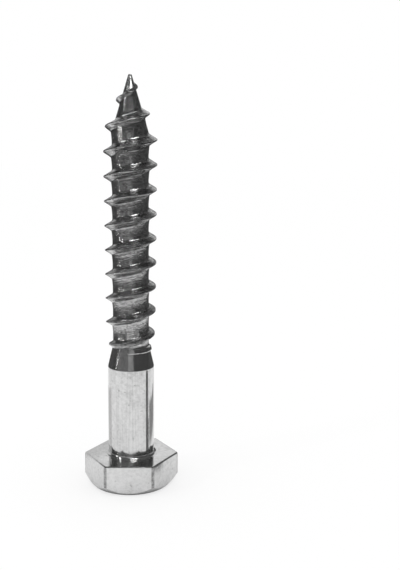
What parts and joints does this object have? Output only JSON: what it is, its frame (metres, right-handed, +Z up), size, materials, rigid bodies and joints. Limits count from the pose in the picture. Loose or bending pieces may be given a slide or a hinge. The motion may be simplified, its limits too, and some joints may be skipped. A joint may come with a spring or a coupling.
{
  "type": "coach screw",
  "caption": "Coach screw with a chamfered hexagon head, plain shank, tapered shoulder and coarse right-hand wood thread that runs out to a gimlet point.",
  "frame": {"origin": "centre of the head's flat top face, on which the screw stands", "axes": "+Z runs up the screw's axis from the head to the point; +X and -X point at two opposite corners of the hexagon"},
  "size_m": [0.018, 0.0156, 0.0768],
  "materials": {
    "zinc_plated_steel": "bright zinc plate over rolled and headed steel, glossy with fine handling marks"
  },
  "bodies": {
    "root": {"coach_screw": "zinc_plated_steel"}
  },
  "joints": []
}
